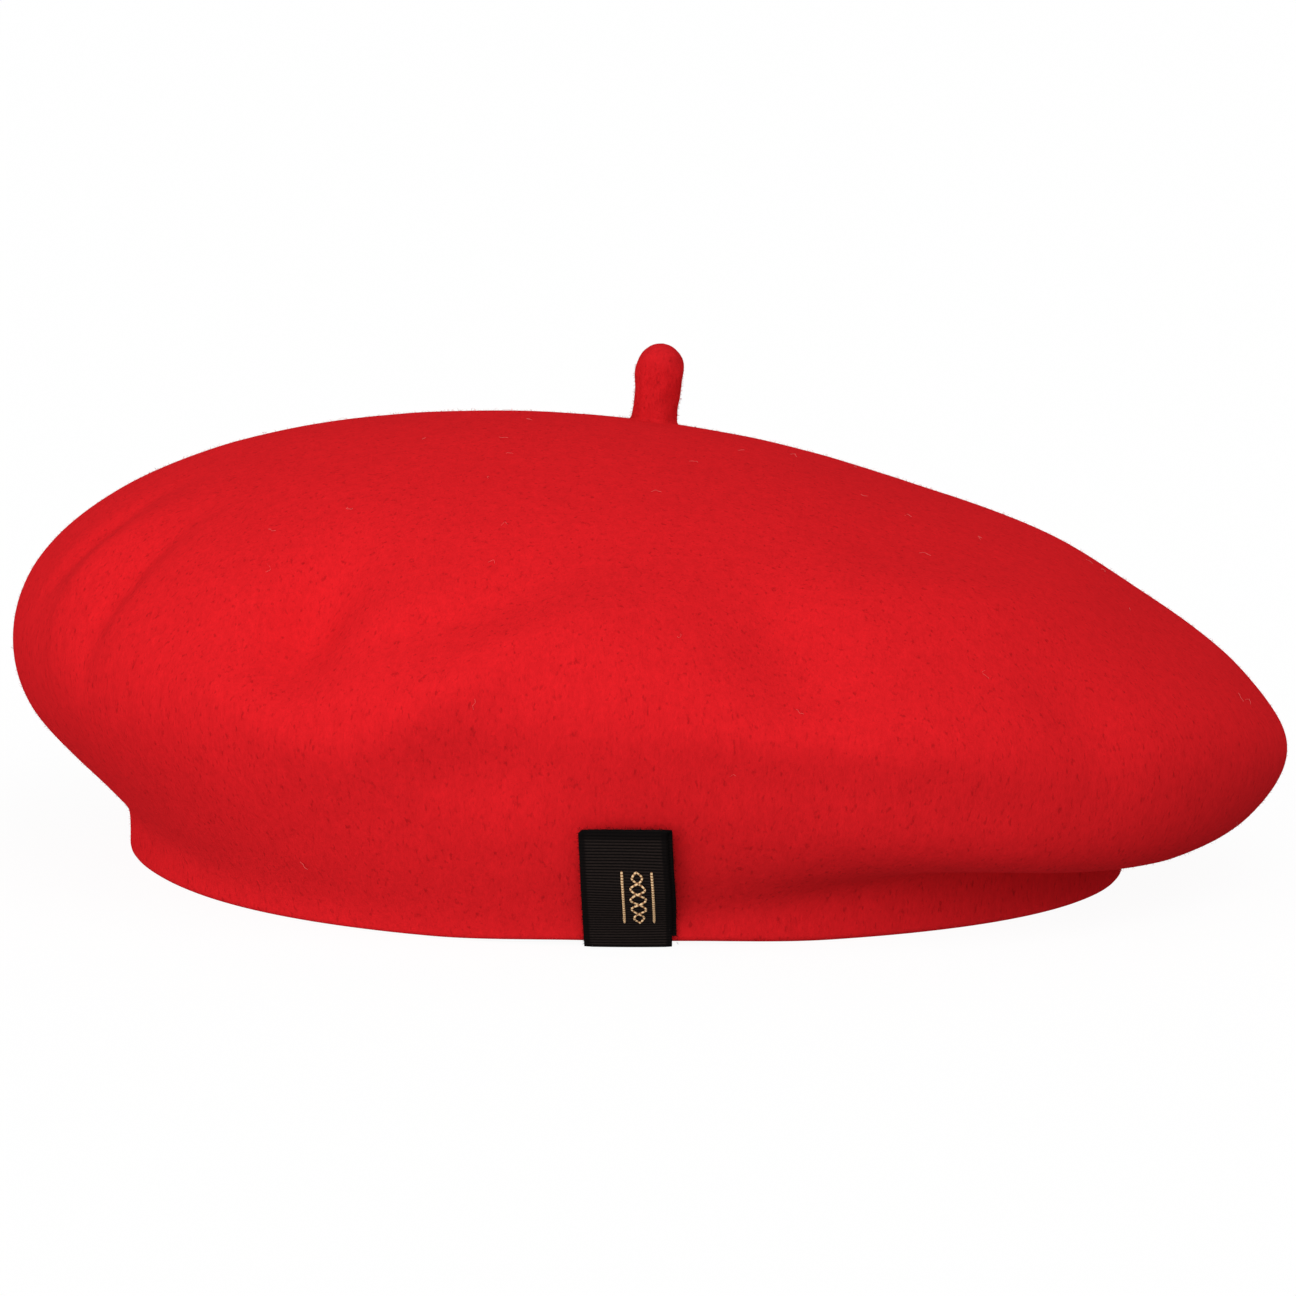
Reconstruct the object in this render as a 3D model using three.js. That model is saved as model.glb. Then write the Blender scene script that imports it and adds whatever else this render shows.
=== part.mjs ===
// A felt beret with a stalk on its crown and a ribbon tab round its rim.
// Millimetres, +Z up. The crown droops towards +X, the tab faces -Y, and the beret stands on its
// rim with the origin under the middle of its outline.
import * as THREE from 'three';

// Head opening, measured on the outside of the felt at the rim
const RIM_LENGTH = 197;
const RIM_WIDTH = 190;
const RIM_TURN = 22; // degrees from +X to the long side of the opening
const RIM_FULLNESS = 2.15; // exponent of the rim's outline: 2 is an ellipse, more is squarer

// Crown
const CROWN_HEIGHT = 87; // top of the felt at the stalk's foot
const OVERHANG = 34; // widest reach of the crown beyond the rim
const BROW_HEIGHT = 45; // highest level of the crown's widest line
const BAND_HEIGHT = 14; // highest level of the upright band under the crown
const FELT_THICKNESS = 2.5;
const DENT_SPAN = 30; // unit of length for the folds
const DENT_DEPTH = 4; // unit of depth for the folds

// Stalk
const STALK_X = 3.8;
const STALK_Y = 2;
const STALK_HEIGHT = 15.6;
const STALK_RADIUS = 4.7;

// Ribbon tab
const TAB_ANGLE = 270.9; // where on the rim its middle sits, anticlockwise from +X
const TAB_WIDTH = 17.1;
const TAB_HEIGHT = 24.2; // outer leg, from the rim to its folded top edge
const TAB_INNER_HEIGHT = 19.5; // inner leg
const TAB_LEAN = 3.5; // degrees from upright, its top towards -X and higher at its +X end
const RIBBON_THICKNESS = 1; // of the doubled ribbon
const RIM_FADE = 30; // length of rim over which its lift beside the tab dies out

const CLEARANCE = 0.45; // between a piece and the felt that carries it

// Slopes of the felt's top at the stalk's foot, as rise over run
const TOP_SLOPE_X = -0.1;
const TOP_SLOPE_Y = -0.09;

// Lines that the felt follows from the stalk's foot to the rim, one for each direction.
// angle: degrees anticlockwise from +X.
// reach: share of OVERHANG. brow: share of BROW_HEIGHT. neck: share of BAND_HEIGHT.
// tuck: degrees that the underside climbs away from the neck.
// crownEase, browEase: how far the top and the brow hold their directions, as shares of the way.
// underEase: the same for the underside.
const LINE_COLUMNS = [
  'angle', 'reach', 'brow', 'neck', 'tuck', 'crownEase', 'browEase', 'underEase',
];
const LINES = [
  [0, 0.97, 0.58, 0.8, -30, 0.42, 0.29, 0.6],
  [30, 1, 0.64, 0.89, -24, 0.43, 0.33, 0.6],
  [60, 1, 0.75, 0.97, -5, 0.43, 0.37, 0.6],
  [90, 0.94, 0.84, 0.93, 15, 0.52, 0.46, 0.6],
  [120, 0.85, 0.9, 0.9, 30, 0.55, 0.5, 0.55],
  [150, 0.76, 0.94, 0.8, 38, 0.56, 0.6, 0.54],
  [180, 0.71, 0.94, 0.74, 42, 0.56, 0.65, 0.58],
  [210, 0.59, 0.92, 0.42, 70, 0.56, 0.62, 0.36],
  [240, 0.42, 0.85, 0.12, 73, 0.55, 0.57, 0.3],
  [270, 0.36, 0.95, 0.18, 70, 0.5, 0.48, 0.4],
  [300, 0.62, 0.82, 0.8, 15, 0.46, 0.43, 0.86],
  [330, 0.86, 0.71, 1, -30, 0.42, 0.33, 0.85],
];

// Folds and dents, each a soft ridge or valley along a short curve on the felt.
// angle: degrees of its middle. down: its middle's share of the way from stalk to rim.
// turn: degrees from level, its right-hand end down. length, width: half sizes, shares of
// DENT_SPAN. bend: sideways share of the width at its ends. depth: share of DENT_DEPTH, + outwards.
const DENT_COLUMNS = ['angle', 'down', 'turn', 'length', 'width', 'bend', 'depth'];
const DENTS = [
  [234.5, 0.64, 88, 0.5, 0.34, 0, -2],
  [225, 0.68, 12, 0.8, 0.25, 0, -0.35],
  [233, 0.75, 22, 0.6, 0.2, 0, 0.35],
  [254, 0.695, -36, 0.8, 0.22, 0, 0.65],
  [256, 0.575, -54, 0.65, 0.32, 0, -0.45],
  [246.5, 0.642, -32, 0.6, 0.17, 0, -0.4],
  [268, 0.64, 20, 0.5, 0.45, 0, 0.4],
  [287, 0.63, 80, 0.6, 0.42, 0, -0.9],
  [256, 0.8, -10, 0.5, 0.28, 0, -0.4],
  [291, 0.73, -3, 1.2, 0.22, 0, 0.5],
  [195, 0.6, 90, 0.5, 0.12, 0, -0.4],
  [201.8, 0.63, 91, 0.55, 0.17, 0, 0.5],
  [208.8, 0.65, 92, 0.6, 0.13, 0, -0.55],
  [316, 0.665, 60, 0.4, 0.3, 0, -0.5],
  [312, 0.52, -10, 1.3, 0.42, 0, 0.8],
  [357, 0.42, 0, 1.2, 0.6, 0, 0.5],
  [357, 0.68, 0, 0.8, 0.3, 0, -0.24],
  [58, 0.6, -20, 0.8, 0.4, 0, -0.35],
  [108, 0.66, 15, 0.9, 0.35, 0, -0.4],
  [150, 0.58, 60, 0.6, 0.25, 0, -0.3],
];

// Stalk profile. up: share of STALK_HEIGHT. radius: share of STALK_RADIUS.
const STALK_COLUMNS = ['up', 'radius'];
const STALK_PROFILE = [
  [0, 1.1],
  [0.06, 1],
  [0.35, 0.95],
  [0.6, 1.01],
  [0.74, 1],
  [0.86, 0.86],
  [0.95, 0.55],
];

// Fineness of the meshes
const FELT_COLUMNS = 96;
const FELT_ROWS = 26;
const LINE_POINTS = 120;
const SOFTENING_ROUNDS = 8; // rounds of averaging that round off the neck
const ROW_CROWDING = 0.14; // how much closer the rows stand towards the rim
const STALK_SIDES = 20;
const TAB_COLUMNS = 6;
const TAB_LEG_ROWS = 12;
const TAB_TURN_STEPS = 3;

const UP = new THREE.Vector3(0, 0, 1);
const STALK_FOOT = new THREE.Vector3(STALK_X, STALK_Y, CROWN_HEIGHT);

function toRows(columns, table) {
  return table.map((row) => Object.fromEntries(columns.map((name, i) => [name, row[i]])));
}

const lineRows = toRows(LINE_COLUMNS, LINES);
const dentRows = toRows(DENT_COLUMNS, DENTS);
const stalkRows = toRows(STALK_COLUMNS, STALK_PROFILE);

function toRadians(degrees) {
  return THREE.MathUtils.degToRad(degrees);
}

function wrapped(angle) {
  return Math.atan2(Math.sin(angle), Math.cos(angle));
}

// The smooth periodic curve through one column of LINES, which are evenly spaced round the rim.
function around(name, phi) {
  const count = lineRows.length;
  let value = 0;
  for (const row of lineRows) {
    const gap = wrapped(phi - toRadians(row.angle));
    const near = Math.abs(gap) < 1e-9;
    const weight = near ? 1 : Math.sin((count * gap) / 2) / (count * Math.tan(gap / 2));
    value += weight * row[name];
  }
  return value;
}

// Distance from the opening's middle to the rim's outer edge: a superellipse.
function rimRadius(phi) {
  const turned = phi - toRadians(RIM_TURN);
  const across = Math.abs(Math.cos(turned) / (RIM_LENGTH / 2)) ** RIM_FULLNESS;
  const deep = Math.abs(Math.sin(turned) / (RIM_WIDTH / 2)) ** RIM_FULLNESS;
  return (across + deep) ** (-1 / RIM_FULLNESS);
}

// One line down the felt: a cubic from the stalk's foot out to the brow, a cubic back in under it
// to the neck, and a straight band down to the rim, softened where they join.
function feltLine(phi) {
  const out = new THREE.Vector3(Math.cos(phi), Math.sin(phi), 0);
  const rim = out.clone().multiplyScalar(rimRadius(phi));
  const reach = OVERHANG * around('reach', phi);
  const browLevel = BROW_HEIGHT * around('brow', phi);
  const neckLevel = BAND_HEIGHT * around('neck', phi);
  const tuck = toRadians(around('tuck', phi));
  const underEase = around('underEase', phi);

  const brow = rim.clone().addScaledVector(out, reach).addScaledVector(UP, browLevel);
  const neck = rim.clone().addScaledVector(UP, neckLevel);
  const flat = new THREE.Vector3(brow.x - STALK_X, brow.y - STALK_Y, 0);
  flat.z = flat.x * TOP_SLOPE_X + flat.y * TOP_SLOPE_Y;
  const crownHandle = STALK_FOOT.clone().addScaledVector(flat, around('crownEase', phi));
  const browLift = around('browEase', phi) * (CROWN_HEIGHT - browLevel);
  const browHandle = brow.clone().addScaledVector(UP, browLift);
  const underHandle = brow.clone().addScaledVector(UP, -underEase * (browLevel - neckLevel));
  const neckHandle = neck.clone()
    .addScaledVector(out, underEase * reach * Math.cos(tuck))
    .addScaledVector(UP, underEase * reach * Math.sin(tuck));

  const path = new THREE.CurvePath();
  path.add(new THREE.CubicBezierCurve3(STALK_FOOT, crownHandle, browHandle, brow));
  path.add(new THREE.CubicBezierCurve3(brow, underHandle, neckHandle, neck));
  path.add(new THREE.LineCurve3(neck, rim));
  let points = path.getSpacedPoints(LINE_POINTS - 1);
  for (let round = 0; round < SOFTENING_ROUNDS; round += 1) {
    points = points.map((point, i) => {
      const atEnd = i === 0 || i === points.length - 1;
      if (atEnd) return point;
      const neighbours = points[i - 1].clone().add(points[i + 1]);
      return neighbours.multiplyScalar(0.25).addScaledVector(point, 0.5);
    });
  }
  return { points, length: path.getLength() };
}

// The point at a share of the way down one line.
function pointAt(line, down) {
  const place = THREE.MathUtils.clamp(down, 0, 1) * (LINE_POINTS - 1);
  const i = Math.min(Math.floor(place), LINE_POINTS - 2);
  return line.points[i].clone().lerp(line.points[i + 1], place - i);
}

// The share of the way down at which the plain felt has come down to a level.
function downAt(line, level) {
  let i = LINE_POINTS - 1;
  while (line.points[i - 1].z < level) i -= 1;
  const below = line.points[i].z;
  const climb = line.points[i - 1].z - below;
  return (i - (level - below) / climb) / (LINE_POINTS - 1);
}

// Height of the folds over the plain felt. Each is a Gaussian ridge along its own length, and its
// two directions are measured on the felt: level round the crown, and down towards the rim.
function dentHeight(phi, down, radius, length) {
  let height = 0;
  for (const dent of dentRows) {
    const level = (wrapped(phi - toRadians(dent.angle)) * radius) / DENT_SPAN;
    const fall = ((down - dent.down) * length) / DENT_SPAN;
    const turn = toRadians(dent.turn);
    const along = (level * Math.cos(turn) + fall * Math.sin(turn)) / dent.length;
    const aside = (fall * Math.cos(turn) - level * Math.sin(turn)) / dent.width;
    const bent = aside - dent.bend * along ** 2;
    height += DENT_DEPTH * dent.depth * Math.exp(-(along ** 2) - bent ** 2);
  }
  return height;
}

// How far the rim is lifted to clear the ribbon that passes under it.
function rimLift(phi) {
  const side = Math.abs(wrapped(phi - toRadians(TAB_ANGLE))) * rimRadius(phi);
  const fade = 1 - THREE.MathUtils.smoothstep(side, TAB_WIDTH / 2, TAB_WIDTH / 2 + RIM_FADE);
  return (RIBBON_THICKNESS + CLEARANCE) * fade;
}

// The felt in one direction. at(down, lift) is the point at a share of the way from stalk to rim,
// lifted outwards from the felt's outer face, so that -FELT_THICKNESS is its inner face.
function feltColumn(phi) {
  const step = toRadians(0.5);
  const line = feltLine(phi);
  const before = feltLine(phi - step);
  const after = feltLine(phi + step);
  const browShare = 1 / (LINE_POINTS - 1);

  function normalAt(down) {
    if (down < browShare) {
      return new THREE.Vector3(-TOP_SLOPE_X, -TOP_SLOPE_Y, 1).normalize();
    }
    const sideways = pointAt(after, down).sub(pointAt(before, down));
    const downwards = pointAt(line, down + browShare).sub(pointAt(line, down - browShare));
    return downwards.cross(sideways).normalize();
  }

  function at(down, lift) {
    const point = pointAt(line, down);
    const share = THREE.MathUtils.clamp(1 - down, 0, 1);
    const radius = Math.hypot(point.x - STALK_X * share, point.y - STALK_Y * share);
    const height = dentHeight(phi, down, radius, line.length);
    point.addScaledVector(normalAt(down), height + lift);
    const nearRim = Math.max(0, 1 - point.z / BAND_HEIGHT);
    point.z += rimLift(phi) * nearRim;
    return point;
  }

  return { at, phi, line };
}

// A closed body from grid vertices and the faces between them.
function solidFrom(points, faces) {
  const geometry = new THREE.BufferGeometry();
  const numbers = points.flatMap((point) => [point.x, point.y, point.z]);
  geometry.setAttribute('position', new THREE.Float32BufferAttribute(numbers, 3));
  geometry.setIndex(faces);
  geometry.computeVertexNormals();
  return geometry;
}

// The crown: an outer and an inner skin of the same columns, each closed at the stalk's foot by a
// fan, and joined to each other by the flat ring of the rim.
function crownGeometry() {
  const points = [];
  const faces = [];
  const columns = [];
  for (let i = 0; i < FELT_COLUMNS; i += 1) {
    columns.push(feltColumn((2 * Math.PI * i) / FELT_COLUMNS));
  }

  function addSkin(lift, outward) {
    const pole = points.length;
    points.push(columns[0].at(0, lift));
    for (let row = 1; row <= FELT_ROWS; row += 1) {
      const share = row / FELT_ROWS;
      const down = share + ROW_CROWDING * Math.sin(Math.PI * share);
      for (const column of columns) {
        const point = column.at(down, lift);
        if (row === FELT_ROWS) point.z = rimLift(column.phi);
        points.push(point);
      }
    }
    const vertex = (row, i) => pole + 1 + (row - 1) * FELT_COLUMNS + (i % FELT_COLUMNS);
    const face = (a, b, c) => faces.push(...(outward ? [a, b, c] : [a, c, b]));
    for (let i = 0; i < FELT_COLUMNS; i += 1) {
      face(pole, vertex(1, i), vertex(1, i + 1));
      for (let row = 1; row < FELT_ROWS; row += 1) {
        face(vertex(row, i), vertex(row + 1, i), vertex(row + 1, i + 1));
        face(vertex(row, i), vertex(row + 1, i + 1), vertex(row, i + 1));
      }
    }
    return (i) => vertex(FELT_ROWS, i);
  }

  const outer = addSkin(0, true);
  const inner = addSkin(-FELT_THICKNESS, false);
  for (let i = 0; i < FELT_COLUMNS; i += 1) {
    faces.push(outer(i), inner(i), inner(i + 1));
    faces.push(outer(i), inner(i + 1), outer(i + 1));
  }
  return solidFrom(points, faces);
}

// The stalk: a lathe profile that flares a little at its foot and ends in a dome.
function stalkGeometry() {
  const profile = [new THREE.Vector2(0, 0)];
  for (const row of stalkRows) {
    profile.push(new THREE.Vector2(row.radius * STALK_RADIUS, row.up * STALK_HEIGHT));
  }
  profile.push(new THREE.Vector2(0, STALK_HEIGHT));
  return new THREE.LatheGeometry(profile, STALK_SIDES).rotateX(Math.PI / 2);
}

// The ribbon tab: down the outside of the band, round under the rim and up the inside. Its two
// faces run at one distance and at one ribbon's thickness more from the felt.
function ribbonGeometry() {
  const points = [];
  const faces = [];
  const columns = TAB_COLUMNS + 1;

  const lean = Math.tan(toRadians(TAB_LEAN));
  const middle = feltLine(toRadians(TAB_ANGLE));

  // A point so far along the tab's width, up from the rim and out from the felt.
  function legPoint(across, level, lift) {
    const centre = pointAt(middle, downAt(middle, level));
    const side = across - lean * level;
    const height = level + (lean * across * level) / TAB_HEIGHT;
    const column = feltColumn(toRadians(TAB_ANGLE) + side / Math.hypot(centre.x, centre.y));
    return column.at(downAt(column.line, height), lift);
  }

  // A quarter turn about the felt's outer (start 0) or inner (start 1) edge at the rim.
  function turnPoint(across, start, share, depth) {
    const angle = (Math.PI / 2) * (start + share);
    const point = legPoint(across, 0, Math.cos(angle) * depth - start * FELT_THICKNESS);
    point.z -= Math.sin(angle) * depth;
    return point;
  }

  function ribbonRow(across, depth) {
    const row = [];
    for (let i = 0; i < TAB_LEG_ROWS; i += 1) {
      row.push(legPoint(across, TAB_HEIGHT * (1 - i / TAB_LEG_ROWS), depth));
    }
    for (let start = 0; start < 2; start += 1) {
      for (let i = 0; i <= TAB_TURN_STEPS; i += 1) {
        row.push(turnPoint(across, start, i / TAB_TURN_STEPS, depth));
      }
    }
    for (let i = 1; i <= TAB_LEG_ROWS; i += 1) {
      const level = (TAB_INNER_HEIGHT * i) / TAB_LEG_ROWS;
      row.push(legPoint(across, level, -FELT_THICKNESS - depth));
    }
    return row;
  }

  for (const depth of [CLEARANCE, CLEARANCE + RIBBON_THICKNESS]) {
    for (let i = 0; i < columns; i += 1) {
      points.push(...ribbonRow(TAB_WIDTH * (i / TAB_COLUMNS - 0.5), depth));
    }
  }
  const rows = points.length / columns / 2;
  const vertex = (skin, column, row) => (skin * columns + column) * rows + row;
  const quad = (a, b, c, d) => faces.push(a, b, c, a, c, d);
  for (let i = 0; i < TAB_COLUMNS; i += 1) {
    for (let row = 0; row < rows - 1; row += 1) {
      quad(vertex(0, i, row), vertex(0, i + 1, row), vertex(0, i + 1, row + 1), vertex(0, i, row + 1));
      quad(vertex(1, i, row), vertex(1, i, row + 1), vertex(1, i + 1, row + 1), vertex(1, i + 1, row));
    }
    quad(vertex(0, i, 0), vertex(1, i, 0), vertex(1, i + 1, 0), vertex(0, i + 1, 0));
    const last = rows - 1;
    quad(vertex(0, i, last), vertex(0, i + 1, last), vertex(1, i + 1, last), vertex(1, i, last));
  }
  for (let row = 0; row < rows - 1; row += 1) {
    quad(vertex(0, 0, row), vertex(0, 0, row + 1), vertex(1, 0, row + 1), vertex(1, 0, row));
    const side = TAB_COLUMNS;
    quad(vertex(0, side, row), vertex(1, side, row), vertex(1, side, row + 1), vertex(0, side, row + 1));
  }
  return solidFrom(points, faces);
}

function makeCrown() {
  const felt = new THREE.MeshStandardMaterial({ color: 0xd71c21, roughness: 0.95, metalness: 0 });
  const mesh = new THREE.Mesh(crownGeometry(), felt);
  mesh.name = 'crown';
  return mesh;
}

function makeStalk() {
  const felt = new THREE.MeshStandardMaterial({ color: 0xd21a20, roughness: 0.95, metalness: 0 });
  const mesh = new THREE.Mesh(stalkGeometry(), felt);
  mesh.name = 'stalk';
  const axis = new THREE.Vector3(-TOP_SLOPE_X, -TOP_SLOPE_Y, 1).normalize();
  mesh.quaternion.setFromUnitVectors(UP, axis);
  mesh.position.copy(STALK_FOOT).addScaledVector(axis, CLEARANCE);
  return mesh;
}

function makeRibbonTab() {
  const ribbon = new THREE.MeshStandardMaterial({ color: 0x0c0b0d, roughness: 0.7, metalness: 0 });
  const mesh = new THREE.Mesh(ribbonGeometry(), ribbon);
  mesh.name = 'ribbon_tab';
  return mesh;
}

const beret = new THREE.Group();
beret.add(makeCrown(), makeStalk(), makeRibbonTab());

// The origin goes under the middle of the outline, at floor level.
const outline = new THREE.Box3().setFromObject(beret, true);
beret.position.set(
  -(outline.min.x + outline.max.x) / 2,
  -(outline.min.y + outline.max.y) / 2,
  -outline.min.z,
);

export default beret;
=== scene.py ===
"""The look of a red felt beret with a stalk and a ribbon tab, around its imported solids.

Lengths are in millimetres in the beret's own frame: the middle of the head opening is at the
origin on the floor, +X runs to the drooping side, the tab faces -Y and +Z is up. to_row turns them
into the frame's metres. Every shape is a grid of points that numpy works out as whole arrays.
"""
import math

import bpy
import numpy as np
from mathutils import Matrix, Vector


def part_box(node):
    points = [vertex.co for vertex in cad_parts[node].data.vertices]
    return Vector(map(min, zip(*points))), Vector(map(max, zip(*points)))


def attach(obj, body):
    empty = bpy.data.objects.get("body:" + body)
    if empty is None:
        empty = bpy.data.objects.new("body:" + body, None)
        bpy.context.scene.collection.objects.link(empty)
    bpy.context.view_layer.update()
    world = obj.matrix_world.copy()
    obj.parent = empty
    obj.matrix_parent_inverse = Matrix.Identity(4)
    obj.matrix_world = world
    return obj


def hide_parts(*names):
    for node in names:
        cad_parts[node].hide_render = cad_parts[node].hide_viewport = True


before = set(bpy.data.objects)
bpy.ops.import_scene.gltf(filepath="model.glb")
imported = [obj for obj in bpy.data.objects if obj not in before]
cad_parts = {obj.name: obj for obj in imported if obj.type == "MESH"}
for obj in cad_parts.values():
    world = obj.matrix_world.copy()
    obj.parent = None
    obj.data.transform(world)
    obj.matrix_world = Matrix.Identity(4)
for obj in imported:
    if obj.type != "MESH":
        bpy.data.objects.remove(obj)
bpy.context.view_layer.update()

MM = 0.001
TURN = 2 * math.pi

# Head opening, measured on the outside of the felt at the rim
RIM_LENGTH = 197.0
RIM_WIDTH = 190.0
RIM_TURN = math.radians(22)
RIM_FULLNESS = 2.15

# Crown
CROWN_HEIGHT = 87.0
OVERHANG = 34.0
BROW_HEIGHT = 45.0
BAND_HEIGHT = 14.0
FELT = 2.5
DENT_SPAN = 30.0
DENT_DEPTH = 4.0
TOP_SLOPE = np.array([-0.1, -0.09, 0.0])
STALK_FOOT = np.array([3.8, 2.0, CROWN_HEIGHT])

# Stalk
STALK_HEIGHT = 15.6
STALK_RADIUS = 4.75

# Ribbon tab
TAB_ANGLE = math.radians(270.9)
TAB_WIDTH = 17.1
LAYER_WIDTH = 16.2
TAB_HEIGHT = 24.8
TAB_INNER_HEIGHT = 19.5
TAB_LEAN = math.radians(3.5)
LAYER = 0.46
TAB_GAP = 0.3
BACK_FOOT = 1.6
FOLD_FADE = 0.4
RIB_PITCH = 0.6
RIB_DEPTH = 0.09
SELVEDGE = 1.1
RIM_FADE = 30.0  # length of rim over which its lift beside the tab dies out
STAND_OFF = 2.2
STAND_OFF_START = 2  # level at which the outer leg leaves the felt
STAND_OFF_CLIMB = 12  # rise over which it reaches its full distance
LEFT_SHARE = 0.55  # how much of that distance the left-hand edge has

# Embroidered plait on the tab: its middle and half width across, its lower and upper levels, and
# how far from its middle a straight row of stitches runs on either side
PLAIT_MIDDLE = 1.7
PLAIT_HALF = 1.4
PLAIT_LEVELS = (5.0, 17.0)
PLAIT_TURNS = 2.5
ROW_OFFSET = 2.7
THREAD_RADIUS = 0.2
ROW_RADIUS = 0.24
STITCH = 0.55
THREAD_SIDES = 8
THREAD_ROWS = 240

# Lines from the stalk's foot to the rim, as in the solids: reach is a share of OVERHANG, brow of
# BROW_HEIGHT and neck of BAND_HEIGHT, tuck is in degrees, and the eases are shares of the way.
LINE_COLUMNS = ("angle", "reach", "brow", "neck", "tuck", "crown_ease", "brow_ease", "under_ease")
LINES = np.array([
    (0, 0.97, 0.58, 0.8, -30, 0.42, 0.29, 0.6),
    (30, 1, 0.64, 0.89, -24, 0.43, 0.33, 0.6),
    (60, 1, 0.75, 0.97, -5, 0.43, 0.37, 0.6),
    (90, 0.94, 0.84, 0.93, 15, 0.52, 0.46, 0.6),
    (120, 0.85, 0.9, 0.9, 30, 0.55, 0.5, 0.55),
    (150, 0.76, 0.94, 0.8, 38, 0.56, 0.6, 0.54),
    (180, 0.71, 0.94, 0.74, 42, 0.56, 0.65, 0.58),
    (210, 0.59, 0.92, 0.42, 70, 0.56, 0.62, 0.36),
    (240, 0.42, 0.85, 0.12, 73, 0.55, 0.57, 0.3),
    (270, 0.36, 0.95, 0.18, 70, 0.5, 0.48, 0.4),
    (300, 0.62, 0.82, 0.8, 15, 0.46, 0.43, 0.86),
    (330, 0.86, 0.71, 1, -30, 0.42, 0.33, 0.85),
])

# Folds and dents, as in the solids: angle and turn in degrees, down as a share of the way to the
# rim, length and width as shares of DENT_SPAN, depth as a share of DENT_DEPTH, + outwards.
DENT_COLUMNS = ("angle", "down", "turn", "length", "width", "bend", "depth")
DENTS = np.array([
    (234.5, 0.64, 88, 0.5, 0.34, 0, -2.0),
    (225, 0.68, 12, 0.8, 0.25, 0, -0.35),
    (233, 0.75, 22, 0.6, 0.2, 0, 0.35),
    (254, 0.695, -36, 0.8, 0.22, 0, 0.65),
    (256, 0.575, -54, 0.65, 0.32, 0, -0.45),
    (246.5, 0.642, -32, 0.6, 0.17, 0, -0.4),
    (268, 0.64, 20, 0.5, 0.45, 0, 0.4),
    (287, 0.63, 80, 0.6, 0.42, 0, -0.9),
    (256, 0.8, -10, 0.5, 0.28, 0, -0.4),
    (291, 0.73, -3, 1.2, 0.22, 0, 0.5),
    (195, 0.6, 90, 0.5, 0.12, 0, -0.4),
    (201.8, 0.63, 91, 0.55, 0.17, 0, 0.5),
    (208.8, 0.65, 92, 0.6, 0.13, 0, -0.55),
    (316, 0.665, 60, 0.4, 0.3, 0, -0.5),
    (312, 0.52, -10, 1.3, 0.42, 0, 0.8),
    (357, 0.42, 0, 1.2, 0.6, 0, 0.5),
    (357, 0.68, 0, 0.8, 0.3, 0, -0.24),
    (58, 0.6, -20, 0.8, 0.4, 0, -0.35),
    (108, 0.66, 15, 0.9, 0.35, 0, -0.4),
    (150, 0.58, 60, 0.6, 0.25, 0, -0.3),
])

# Soft waves over the felt: wavelength along X, Y and Z, phase, and height
WAVES = np.array([
    (61, 47, 53, 0.4, 0.10),
    (37, 43, 31, 2.1, 0.07),
    (23, 29, 26, 4.0, 0.04),
    (15, 18, 13, 1.2, 0.02),
])

# Stalk profile: share of STALK_HEIGHT and share of STALK_RADIUS
STALK_PROFILE = np.array([
    (-0.03, 1.10),
    (0.00, 1.03),
    (0.05, 0.96),
    (0.20, 0.93),
    (0.40, 0.96),
    (0.60, 1.01),
    (0.70, 1.00),
    (0.80, 0.92),
    (0.88, 0.77),
    (0.95, 0.52),
    (0.985, 0.28),
    (1.00, 0.00),
])

FELT_COLUMNS = 440
FELT_ROWS = 160
INNER_ROWS = 50
RIM_ROWS = 6
SOFTENING_ROUNDS = 14
TOP_SAMPLES = 120
UNDER_SAMPLES = 60
BAND_SAMPLES = 24
WAVE_FADE = 0.1  # share of the way over which the waves die out at the stalk and at the rim
STALK_SAMPLES = 90
NAP_FIBRES = 40000
UP = np.array([0.0, 0.0, 1.0])


def around(name, phi):
    """The periodic curve through one column of LINES: the trigonometric interpolation with the
    weight sin(n gap / 2) / (n tan(gap / 2)) for each of its n evenly spaced rows."""
    values = LINES[:, LINE_COLUMNS.index(name)]
    count = len(values)
    gap = phi[..., None] - np.radians(LINES[:, 0])
    gap = np.where(np.abs(np.sin(gap / 2)) < 1e-9, 1e-9, gap)
    weight = np.sin(count * gap / 2) / (count * np.tan(gap / 2))
    return (weight * values).sum(-1)


def rim_radius(phi):
    """Distance from the opening's middle to the rim: a superellipse, one over the root of
    |cos/half length|^n + |sin/half width|^n."""
    across = np.abs(np.cos(phi - RIM_TURN) / (RIM_LENGTH / 2)) ** RIM_FULLNESS
    deep = np.abs(np.sin(phi - RIM_TURN) / (RIM_WIDTH / 2)) ** RIM_FULLNESS
    return (across + deep) ** (-1 / RIM_FULLNESS)


def cubic(start, first, second, end, count):
    """A cubic Bezier curve for each column, sampled at count points."""
    t = np.linspace(0, 1, count)[None, :, None]
    near = (1 - t) ** 3 * start[:, None] + 3 * (1 - t) ** 2 * t * first[:, None]
    far = 3 * (1 - t) * t ** 2 * second[:, None] + t ** 3 * end[:, None]
    return near + far


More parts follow.
